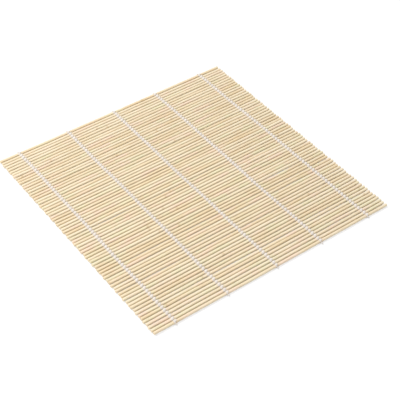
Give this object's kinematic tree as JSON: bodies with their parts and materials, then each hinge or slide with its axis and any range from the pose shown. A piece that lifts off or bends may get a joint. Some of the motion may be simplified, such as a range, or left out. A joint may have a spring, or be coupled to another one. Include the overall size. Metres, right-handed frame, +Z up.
{
  "type": "sushi rolling mat",
  "caption": "Square mat of thin round bamboo sticks held side by side by knotted cotton strings, so that it rolls up across the sticks.",
  "frame": {"origin": "under the middle of the mat, on the surface that the mat lies on", "axes": "+X along the sticks to the right, +Y along the strings to the back edge, +Z up; the front edge, at -Y, is the inside of the roll"},
  "size_m": [0.24, 0.2438, 0.0038],
  "materials": {
    "bamboo": "satin, split and rounded, bare",
    "cotton": "matte twisted yarn"
  },
  "bodies": {
    "row_01_02": {"sticks_01_02": "bamboo", "strings_01_02": "cotton", "front_knots": "cotton"},
    "row_03_04": {"sticks_03_04": "bamboo", "strings_03_04": "cotton"},
    "row_05_06": {"sticks_05_06": "bamboo", "strings_05_06": "cotton"},
    "row_07_08": {"sticks_07_08": "bamboo", "strings_07_08": "cotton"},
    "row_09_10": {"sticks_09_10": "bamboo", "strings_09_10": "cotton"},
    "row_11_12": {"sticks_11_12": "bamboo", "strings_11_12": "cotton"},
    "row_13_14": {"sticks_13_14": "bamboo", "strings_13_14": "cotton"},
    "row_15_16": {"sticks_15_16": "bamboo", "strings_15_16": "cotton"},
    "row_17_18": {"sticks_17_18": "bamboo", "strings_17_18": "cotton"},
    "row_19_20": {"sticks_19_20": "bamboo", "strings_19_20": "cotton"},
    "row_21_22": {"sticks_21_22": "bamboo", "strings_21_22": "cotton"},
    "row_23_24": {"sticks_23_24": "bamboo", "strings_23_24": "cotton"},
    "row_25_26": {"sticks_25_26": "bamboo", "strings_25_26": "cotton"},
    "row_27_28": {"sticks_27_28": "bamboo", "strings_27_28": "cotton"},
    "row_29_30": {"sticks_29_30": "bamboo", "strings_29_30": "cotton"},
    "row_31_32": {"sticks_31_32": "bamboo", "strings_31_32": "cotton"},
    "row_33_34": {"sticks_33_34": "bamboo", "strings_33_34": "cotton"},
    "row_35_37": {"sticks_35_37": "bamboo", "strings_35_37": "cotton"},
    "row_38_40": {"sticks_38_40": "bamboo", "strings_38_40": "cotton"},
    "row_41_43": {"sticks_41_43": "bamboo", "strings_41_43": "cotton"},
    "row_44_46": {"sticks_44_46": "bamboo", "strings_44_46": "cotton"},
    "row_47_49": {"sticks_47_49": "bamboo", "strings_47_49": "cotton"},
    "row_50_52": {"sticks_50_52": "bamboo", "strings_50_52": "cotton"},
    "row_53_55": {"sticks_53_55": "bamboo", "strings_53_55": "cotton"},
    "row_56_58": {"sticks_56_58": "bamboo", "strings_56_58": "cotton"},
    "row_59_61": {"sticks_59_61": "bamboo", "strings_59_61": "cotton"},
    "row_62_64": {"sticks_62_64": "bamboo", "strings_62_64": "cotton"},
    "row_65_67": {"sticks_65_67": "bamboo", "strings_65_67": "cotton"},
    "row_68_70": {"sticks_68_70": "bamboo", "strings_68_70": "cotton", "back_knots": "cotton"}
  },
  "joints": [
    {"name": "gap_02_03", "type": "hinge", "parent": "row_03_04", "child": "row_01_02", "pos_m": [0, -0.11319, 0.00189], "axis": [-1, 0, 0], "range_deg": [-31, 31]},
    {"name": "gap_04_05", "type": "hinge", "parent": "row_05_06", "child": "row_03_04", "pos_m": [0, -0.10633, 0.00189], "axis": [-1, 0, 0], "range_deg": [-30, 30]},
    {"name": "gap_06_07", "type": "hinge", "parent": "row_07_08", "child": "row_05_06", "pos_m": [0, -0.09947, 0.00189], "axis": [-1, 0, 0], "range_deg": [-29, 29]},
    {"name": "gap_08_09", "type": "hinge", "parent": "row_09_10", "child": "row_07_08", "pos_m": [0, -0.09261, 0.00189], "axis": [-1, 0, 0], "range_deg": [-28, 28]},
    {"name": "gap_10_11", "type": "hinge", "parent": "row_11_12", "child": "row_09_10", "pos_m": [0, -0.08575, 0.00189], "axis": [-1, 0, 0], "range_deg": [-27.5, 27.5]},
    {"name": "gap_12_13", "type": "hinge", "parent": "row_13_14", "child": "row_11_12", "pos_m": [0, -0.07889, 0.00189], "axis": [-1, 0, 0], "range_deg": [-27, 27]},
    {"name": "gap_14_15", "type": "hinge", "parent": "row_15_16", "child": "row_13_14", "pos_m": [0, -0.07203, 0.00189], "axis": [-1, 0, 0], "range_deg": [-26, 26]},
    {"name": "gap_16_17", "type": "hinge", "parent": "row_17_18", "child": "row_15_16", "pos_m": [0, -0.06517, 0.00189], "axis": [-1, 0, 0], "range_deg": [-25.5, 25.5]},
    {"name": "gap_18_19", "type": "hinge", "parent": "row_19_20", "child": "row_17_18", "pos_m": [0, -0.05831, 0.00189], "axis": [-1, 0, 0], "range_deg": [-25, 25]},
    {"name": "gap_20_21", "type": "hinge", "parent": "row_21_22", "child": "row_19_20", "pos_m": [0, -0.05145, 0.00189], "axis": [-1, 0, 0], "range_deg": [-24.5, 24.5]},
    {"name": "gap_22_23", "type": "hinge", "parent": "row_23_24", "child": "row_21_22", "pos_m": [0, -0.04459, 0.00189], "axis": [-1, 0, 0], "range_deg": [-24, 24]},
    {"name": "gap_24_25", "type": "hinge", "parent": "row_25_26", "child": "row_23_24", "pos_m": [0, -0.03773, 0.00189], "axis": [-1, 0, 0], "range_deg": [-23.5, 23.5]},
    {"name": "gap_26_27", "type": "hinge", "parent": "row_27_28", "child": "row_25_26", "pos_m": [0, -0.03087, 0.00189], "axis": [-1, 0, 0], "range_deg": [-23, 23]},
    {"name": "gap_28_29", "type": "hinge", "parent": "row_29_30", "child": "row_27_28", "pos_m": [0, -0.02401, 0.00189], "axis": [-1, 0, 0], "range_deg": [-22.5, 22.5]},
    {"name": "gap_30_31", "type": "hinge", "parent": "row_31_32", "child": "row_29_30", "pos_m": [0, -0.01715, 0.00189], "axis": [-1, 0, 0], "range_deg": [-22.5, 22.5]},
    {"name": "gap_32_33", "type": "hinge", "parent": "row_33_34", "child": "row_31_32", "pos_m": [0, -0.01029, 0.00189], "axis": [-1, 0, 0], "range_deg": [-22, 22]},
    {"name": "gap_34_35", "type": "hinge", "parent": "row_35_37", "child": "row_33_34", "pos_m": [0, -0.00343, 0.00189], "axis": [-1, 0, 0], "range_deg": [-27, 27]},
    {"name": "gap_37_38", "type": "hinge", "parent": "row_38_40", "child": "row_35_37", "pos_m": [0, 0.00686, 0.00189], "axis": [-1, 0, 0], "range_deg": [-32, 32]},
    {"name": "gap_40_41", "type": "hinge", "parent": "row_41_43", "child": "row_38_40", "pos_m": [0, 0.01715, 0.00189], "axis": [-1, 0, 0], "range_deg": [-31, 31]},
    {"name": "gap_43_44", "type": "hinge", "parent": "row_44_46", "child": "row_41_43", "pos_m": [0, 0.02744, 0.00189], "axis": [-1, 0, 0], "range_deg": [-30.5, 30.5]},
    {"name": "gap_46_47", "type": "hinge", "parent": "row_47_49", "child": "row_44_46", "pos_m": [0, 0.03773, 0.00189], "axis": [-1, 0, 0], "range_deg": [-30, 30]},
    {"name": "gap_49_50", "type": "hinge", "parent": "row_50_52", "child": "row_47_49", "pos_m": [0, 0.04802, 0.00189], "axis": [-1, 0, 0], "range_deg": [-29.5, 29.5]},
    {"name": "gap_52_53", "type": "hinge", "parent": "row_53_55", "child": "row_50_52", "pos_m": [0, 0.05831, 0.00189], "axis": [-1, 0, 0], "range_deg": [-28.5, 28.5]},
    {"name": "gap_55_56", "type": "hinge", "parent": "row_56_58", "child": "row_53_55", "pos_m": [0, 0.0686, 0.00189], "axis": [-1, 0, 0], "range_deg": [-28, 28]},
    {"name": "gap_58_59", "type": "hinge", "parent": "row_59_61", "child": "row_56_58", "pos_m": [0, 0.07889, 0.00189], "axis": [-1, 0, 0], "range_deg": [-27.5, 27.5]},
    {"name": "gap_61_62", "type": "hinge", "parent": "row_62_64", "child": "row_59_61", "pos_m": [0, 0.08918, 0.00189], "axis": [-1, 0, 0], "range_deg": [-27, 27]},
    {"name": "gap_64_65", "type": "hinge", "parent": "row_65_67", "child": "row_62_64", "pos_m": [0, 0.09947, 0.00189], "axis": [-1, 0, 0], "range_deg": [-27, 27]},
    {"name": "gap_67_68", "type": "hinge", "parent": "row_68_70", "child": "row_65_67", "pos_m": [0, 0.10976, 0.00189], "axis": [-1, 0, 0], "range_deg": [-26.5, 26.5]}
  ]
}
